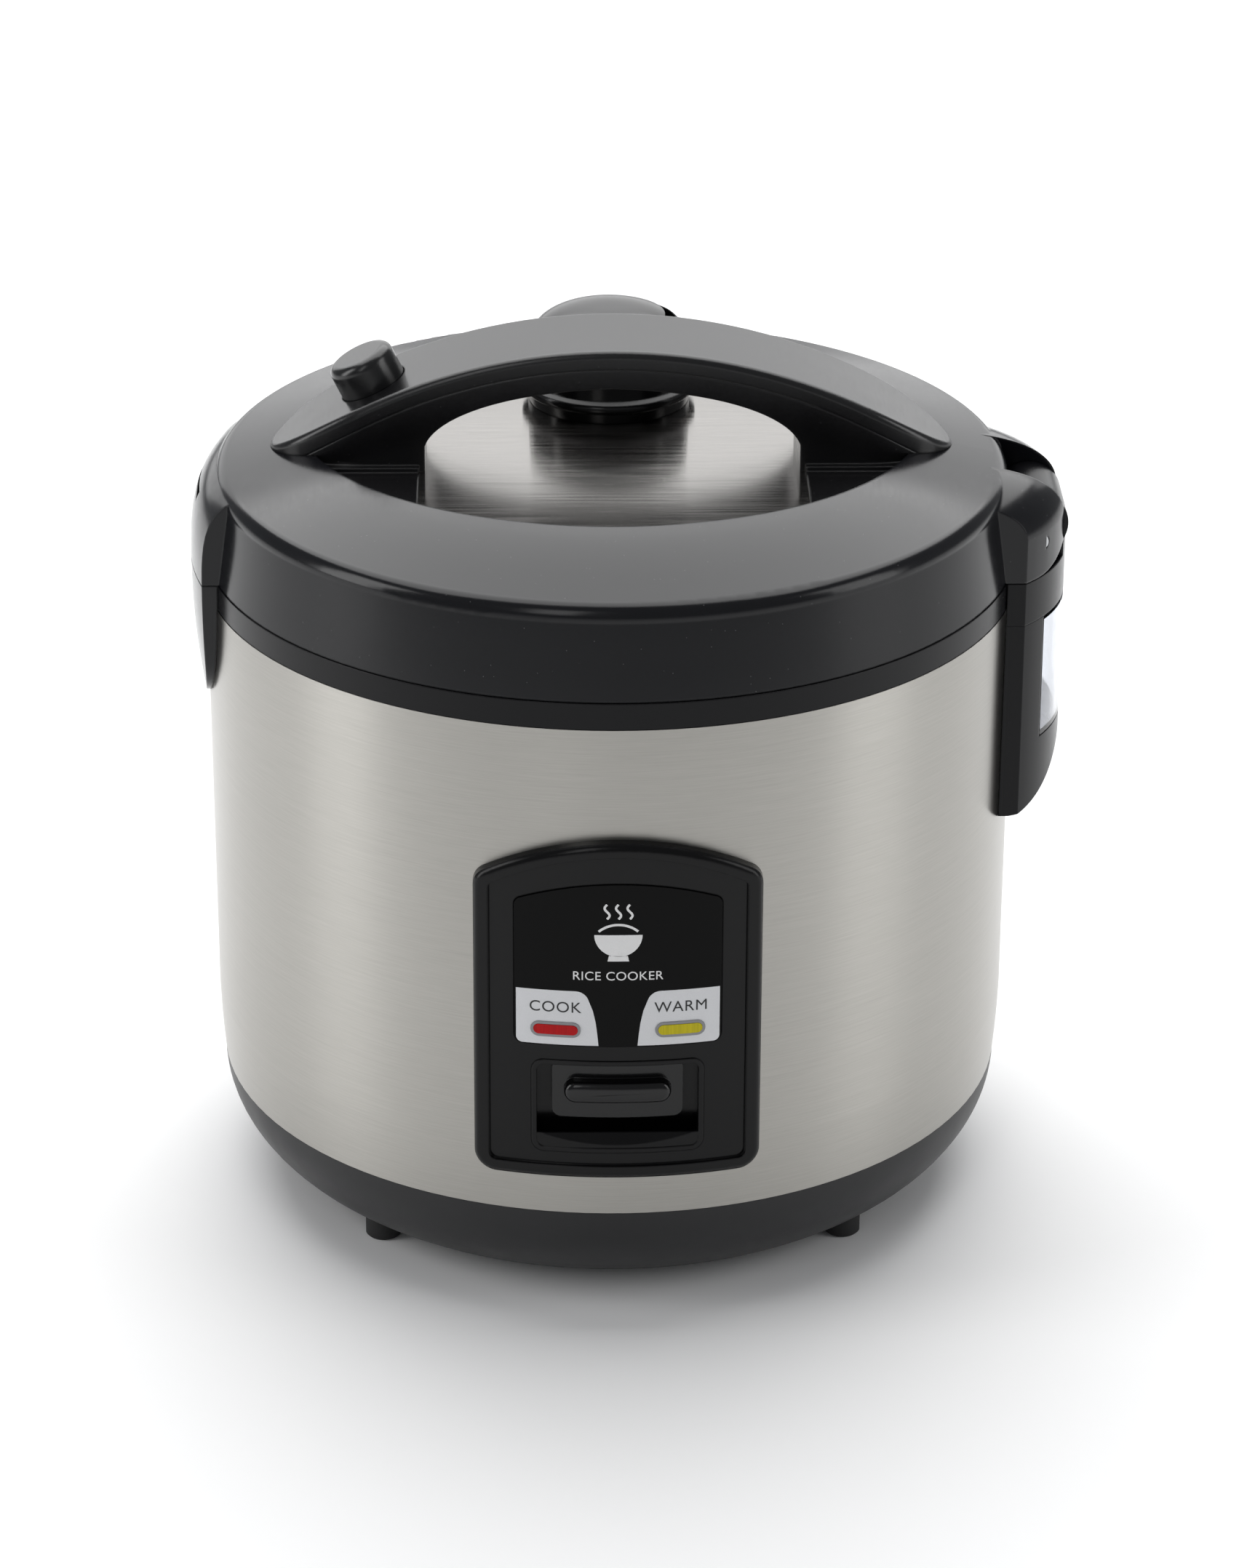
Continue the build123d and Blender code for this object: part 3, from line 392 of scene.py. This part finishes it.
MATERIALS = {
    "brushed_steel": casing_steel(),
    "inlay_steel": inlay_steel(),
    "gloss_black": gloss_plastic("gloss_black", (0.004, 0.0042, 0.0055), 0.17, specular=0.34,
                                 edge=0.9, dust=0.25),
    "collar_black": gloss_plastic("collar_black", (0.003, 0.003, 0.0038), 0.24, specular=0.2,
                                  edge=0.6),
    "handle_black": gloss_plastic("handle_black", (0.004, 0.004, 0.0045), 0.22, specular=0.55,
                                  edge=0.9, dust=0.15),
    "vent_black": gloss_plastic("vent_black", (0.005, 0.005, 0.0055), 0.2, specular=0.4,
                                edge=0.8),
    "panel_black": gloss_plastic("panel_black", (0.002, 0.002, 0.0023), 0.2, specular=0.22,
                                 edge=0.7),
    "base_plastic": satin_plastic("base_plastic", (0.012, 0.012, 0.013), 0.42, specular=0.35),
    "lever_plastic": gloss_plastic("lever_plastic", (0.003, 0.003, 0.0033), 0.16, specular=0.4,
                                   edge=0.4),
    "inner_plastic": satin_plastic("inner_plastic", (0.035, 0.035, 0.038), 0.5),
    "rubber_black": satin_plastic("rubber_black", (0.012, 0.012, 0.012), 0.75, grain=1400.0,
                                  depth=0.03),
    "silicone_grey": satin_plastic("silicone_grey", (0.26, 0.26, 0.26), 0.55, grain=1800.0),
    # The slot is named after the print; the label's plate itself is black.
    "label_silver": gloss_plastic("label_black", (0.001, 0.001, 0.001), 0.12, specular=0.1,
                                  edge=0.3),
    "lens_red": lens("lens_red", (0.45, 0.004, 0.006)),
    "lens_amber": lens("lens_amber", (0.55, 0.47, 0.015)),
    "clear_plastic": clear("clear_plastic", (0.86, 0.88, 0.92)),
    "drawn_aluminium": metal("drawn_aluminium", (0.68, 0.68, 0.69), 0.34),
    "cast_aluminium": metal("cast_aluminium", (0.50, 0.50, 0.50), 0.5,
                            scale=(700.0, 700.0, 700.0), depth=0.05),
    "zinc_steel": metal("zinc_steel", (0.56, 0.57, 0.58), 0.32, scale=(400.0, 400.0, 400.0)),
    "nonstick_coating": coated(),
    "ferrite": satin_plastic("ferrite", (0.03, 0.03, 0.032), 0.6, grain=1800.0, depth=0.03),
    "circuit_board": board(),
    "lamp_glass": clear("lamp_glass", (0.95, 0.7, 0.5)),
    "heater_film": film(),
}
SILVER_INK = printing("silver_ink", (0.58, 0.585, 0.60), 0.25, 0.35)
WHITE_INK = printing("white_ink", (0.70, 0.70, 0.70), 0.0, 0.4)
BLACK_INK = printing("black_ink", (0.006, 0.006, 0.007), 0.0, 0.35)
GREY_FRAME = printing("grey_frame", (0.22, 0.22, 0.23), 0.3, 0.35)


def dress_cad_nodes():
    """Gives every CAD node the material of its slot."""
    slots = {part["node"]: part["material_slot"] for part in frame["record"]["subparts"]}
    for name, node in frame["nodes"].items():
        node.data.materials.clear()
        node.data.materials.append(MATERIALS[slots[name]])


# ---- printing on the label ----------------------------------------------------------

def add_object(name, shape, material):
    """Turns a finished bmesh into an object of one material, and frees the bmesh."""
    mesh = bpy.data.meshes.new(name)
    shape.to_mesh(mesh)
    shape.free()
    piece = bpy.data.objects.new(name, mesh)
    bpy.context.collection.objects.link(piece)
    mesh.materials.append(material)
    return piece


def join_rings(mesh, a, b):
    """Faces between two closed rings with the same number of vertices."""
    count = len(a)
    return [mesh.faces.new((a[k], a[(k + 1) % count], b[(k + 1) % count], b[k]))
            for k in range(count)]


def wrap_on_label(name, flat, material, lift=PRINT_LIFT):
    """Bends a flat mesh, drawn as (x, height) in mm, onto the label's curved face."""
    radius = LABEL_FACE_R + lift
    low = min(v.co.x for v in flat.verts)
    high = max(v.co.x for v in flat.verts)
    cut = math.ceil(low / LABEL_STRIP) * LABEL_STRIP
    while cut < high:
        geometry = flat.verts[:] + flat.edges[:] + flat.faces[:]
        bmesh.ops.bisect_plane(flat, geom=geometry, plane_co=(cut, 0, 0), plane_no=(1, 0, 0),
                               dist=1e-5)
        cut += LABEL_STRIP
    back = bmesh.ops.extrude_face_region(flat, geom=flat.faces[:])
    for vert in (v for v in back["geom"] if isinstance(v, bmesh.types.BMVert)):
        vert.co.z = 1.0          # marks the back until the mesh is bent
    for vert in flat.verts:
        x, z = vert.co.x, vert.co.y
        depth = radius - (PRINT_DEPTH if vert.co.z > 0.5 else 0.0)
        vert.co = (x * MM, -math.sqrt(depth**2 - x**2) * MM, z * MM)
    bmesh.ops.recalc_face_normals(flat, faces=flat.faces)
    piece = add_object(name, flat, material)
    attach(piece, "cooker_body")


def flat_outline(*outlines):
    """Flat mesh with one face per outline."""
    flat = bmesh.new()
    for outline in outlines:
        flat.faces.new([flat.verts.new((x, z, 0)) for x, z in outline])
    return flat


def flat_band(inner, outer):
    """Flat closed band between two outlines with the same number of points."""
    flat = bmesh.new()
    a = [flat.verts.new((x, z, 0)) for x, z in inner]
    b = [flat.verts.new((x, z, 0)) for x, z in outer]
    join_rings(flat, a, b)
    return flat


def arc_points(cx, cz, radius, start, end, count):
    """Points on an arc, from the start angle to the end angle in degrees."""
    return [(cx + radius * math.cos(math.radians(start + (end - start) * i / count)),
             cz + radius * math.sin(math.radians(start + (end - start) * i / count)))
            for i in range(count + 1)]


def pill_points(cx, cz, length, height, steps=10):
    """Outline of a horizontal pill, with its straight sides divided into steps."""
    radius = height / 2
    reach = length / 2 - radius
    along = [reach - 2 * reach * i / steps for i in range(1, steps)]
    return (arc_points(cx + reach, cz, radius, -90, 90, steps)
            + [(cx + x, cz + radius) for x in along]
            + arc_points(cx - reach, cz, radius, 90, 270, steps)
            + [(cx - x, cz - radius) for x in along])


def stroke(points, width):
    """Outline of a line of constant width through the points, with blunt ends."""
    left, right = [], []
    for i, (x, z) in enumerate(points):
        ahead = points[min(i + 1, len(points) - 1)]
        behind = points[max(i - 1, 0)]
        dx, dz = ahead[0] - behind[0], ahead[1] - behind[1]
        length = math.hypot(dx, dz)
        nx, nz = -dz / length * width / 2, dx / length * width / 2
        left.append((x + nx, z + nz))
        right.append((x - nx, z - nz))
    return left + right[::-1]


def silver_area(side):
    """Silver field round a lamp, with its curved inner edge; side is -1 left or 1 right."""
    outline = ([(-32.3, 105.6)] + arc_points(-30.3, 105.8, 2.0, 180, 270, 6)
               + [(-6.2, 103.8), (-6.6, 108.0), (-7.1, 112.0), (-8.0, 116.2), (-9.2, 119.4)]
               + arc_points(-13.6, 118.6, 4.4, 22, 90, 8) + [(-32.3, 123.0)])
    return [(x * -side, z) for x, z in outline] if side > 0 else outline


def bowl_pictogram():
    """Rice bowl with three wisps of steam."""
    bowl = arc_points(0, BOWL_Z, 7.6, 180, 360, 28)
    foot = [(-3.4, BOWL_Z - 9.2), (3.4, BOWL_Z - 9.2), (3.0, BOWL_Z - 7.3),
            (-3.0, BOWL_Z - 7.3)]
    heap = arc_points(0, BOWL_Z - 6.3, 9.3, 48, 132, 18)
    heap = stroke([(x, z + 0.6) for x, z in heap], 0.8)
    wisps = []
    for x in (-3.6, 0.0, 3.6):
        line = [(x + 0.8 * math.sin(i / 12 * 2 * math.pi), BOWL_Z + 5.6 + i * 0.42)
                for i in range(13)]
        wisps.append(stroke(line, 0.75))
    return flat_outline(bowl, foot, heap, *wisps)


def text_mesh(words, size, cx, cz, spread=1.0):
    """Flat mesh of a line of text centred on (cx, cz), in mm."""
    curve = bpy.data.curves.new("words", "FONT")
    curve.body = words
    curve.size = size
    curve.space_character = spread
    curve.align_x = "CENTER"
    curve.align_y = "CENTER"
    temporary = bpy.data.objects.new("words", curve)
    bpy.context.collection.objects.link(temporary)
    bpy.context.view_layer.update()
    mesh = temporary.to_mesh()
    flat = bmesh.new()
    flat.from_mesh(mesh)
    temporary.to_mesh_clear()
    bpy.data.objects.remove(temporary)
    bpy.data.curves.remove(curve)
    low_x = min(v.co.x for v in flat.verts)
    high_x = max(v.co.x for v in flat.verts)
    low_y = min(v.co.y for v in flat.verts)
    high_y = max(v.co.y for v in flat.verts)
    for vert in flat.verts:
        vert.co = (vert.co.x - (low_x + high_x) / 2 + cx, vert.co.y - (low_y + high_y) / 2 + cz, 0)
    bmesh.ops.remove_doubles(flat, verts=flat.verts, dist=1e-4)
    return flat


def make_label_printing():
    for side, name in ((-1, "left"), (1, "right")):
        wrap_on_label("silver_field_" + name, flat_outline(silver_area(side)), SILVER_INK)
        x = LAMP_X * side
        band = flat_band(pill_points(x, LAMP_Z, 14.2, 3.5), pill_points(x, LAMP_Z, 16.0, 5.3))
        wrap_on_label("lamp_frame_" + name, band, GREY_FRAME, lift=FRAME_LIFT)
    for name, words, x in (("word_cook", "COOK", -LAMP_X), ("word_warm", "WARM", LAMP_X)):
        wrap_on_label(name, text_mesh(words, LAMP_WORD_SIZE, x, LAMP_WORD_Z, 1.08), BLACK_INK,
                      lift=WORD_LIFT)
    wrap_on_label("bowl_pictogram", bowl_pictogram(), WHITE_INK)
    wrap_on_label("word_rice_cooker", text_mesh("RICE COOKER", TITLE_SIZE, 0, TITLE_Z, 1.05),
                  WHITE_INK)


# ---- cook lever ---------------------------------------------------------------------

def make_lever():
    """Cook lever with a rounded finger bar in place of the plain one, open behind it."""
    node = frame["nodes"]["cook_lever"]
    mesh = bmesh.new()
    mesh.from_mesh(node.data)
    plate_face = LEVER_PLATE_R * MM
    plain_bar = [v for v in mesh.verts if math.hypot(v.co.x, v.co.y) > plate_face]
    bmesh.ops.delete(mesh, geom=plain_bar, context="VERTS")
    rings = []
    for inset, radius in BAR_PROFILE:
        outline = pill_points(0, BAR_Z, BAR_LENGTH - 2 * inset, BAR_HEIGHT - 2 * inset, 12)
        rings.append([mesh.verts.new((x * MM, -math.sqrt(radius**2 - x**2) * MM, z * MM))
                      for x, z in outline])
    new_faces = []
    for a, b in zip(rings, rings[1:]):
        new_faces += join_rings(mesh, a, b)
    new_faces.append(mesh.faces.new(rings[-1]))
    bmesh.ops.recalc_face_normals(mesh, faces=new_faces)
    for face in new_faces:
        face.smooth = True
    lever = add_object("cook_lever_fine", mesh, MATERIALS["lever_plastic"])
    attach(lever, "cook_lever")
    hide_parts("cook_lever")


# ---- springs ------------------------------------------------------------------------

def coil_spring(name, body, radius, wire, length, turns, base, axis):
    """Round-wire spring with closed ends, standing on base and pointing along axis, in mm."""
    steps, around = int(turns * 28), 10     # along the wire, and round it
    up = Vector((0, 0, 1))
    mesh = bmesh.new()
    rings = []
    rise = length - 2 * wire
    for i in range(steps + 1):
        share = i / steps
        angle = 2 * math.pi * turns * share
        height = wire + rise * (share * share * (3 - 2 * share))
        centre = Vector((radius * math.cos(angle), radius * math.sin(angle), height))
        outward = Vector((math.cos(angle), math.sin(angle), 0))
        circle = [2 * math.pi * k / around for k in range(around)]
        rings.append([mesh.verts.new(centre + wire * (outward * math.cos(a) + up * math.sin(a)))
                      for a in circle])
    for a, b in zip(rings, rings[1:]):
        join_rings(mesh, a, b)
    mesh.faces.new(rings[0][::-1])
    mesh.faces.new(rings[-1])
    turn = up.rotation_difference(axis).to_matrix().to_4x4()
    mesh.transform(Matrix.Scale(MM, 4) @ Matrix.Translation(base) @ turn)
    bmesh.ops.recalc_face_normals(mesh, faces=mesh.faces)
    for face in mesh.faces:
        face.smooth = True
    piece = add_object(name, mesh, MATERIALS["zinc_steel"])
    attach(piece, body)
    return piece


def make_springs():
    """Coil springs for the button and the sensor cap, in place of the CAD's springs."""
    up = BUTTON_AXIS
    low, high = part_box("button_spring")
    middle = (Vector(low) + Vector(high)) / 2 / MM
    base = middle - up * BUTTON_SPRING_HALF
    button = coil_spring("button_coil", "lid", 7.6, 0.6, 6.6, 2.5, base, up)
    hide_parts("button_spring")
    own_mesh(button)
    sensor = coil_spring("sensor_coil", "cooker_body", 12.4, 0.7, 13.9, 4.0,
                         Vector((0, 0, SENSOR_SPRING_Z)), Vector((0, 0, 1)))
    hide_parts("sensor_spring")
    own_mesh(sensor)


make_camera()
make_studio()
dress_cad_nodes()
make_lever()
make_springs()
make_label_printing()
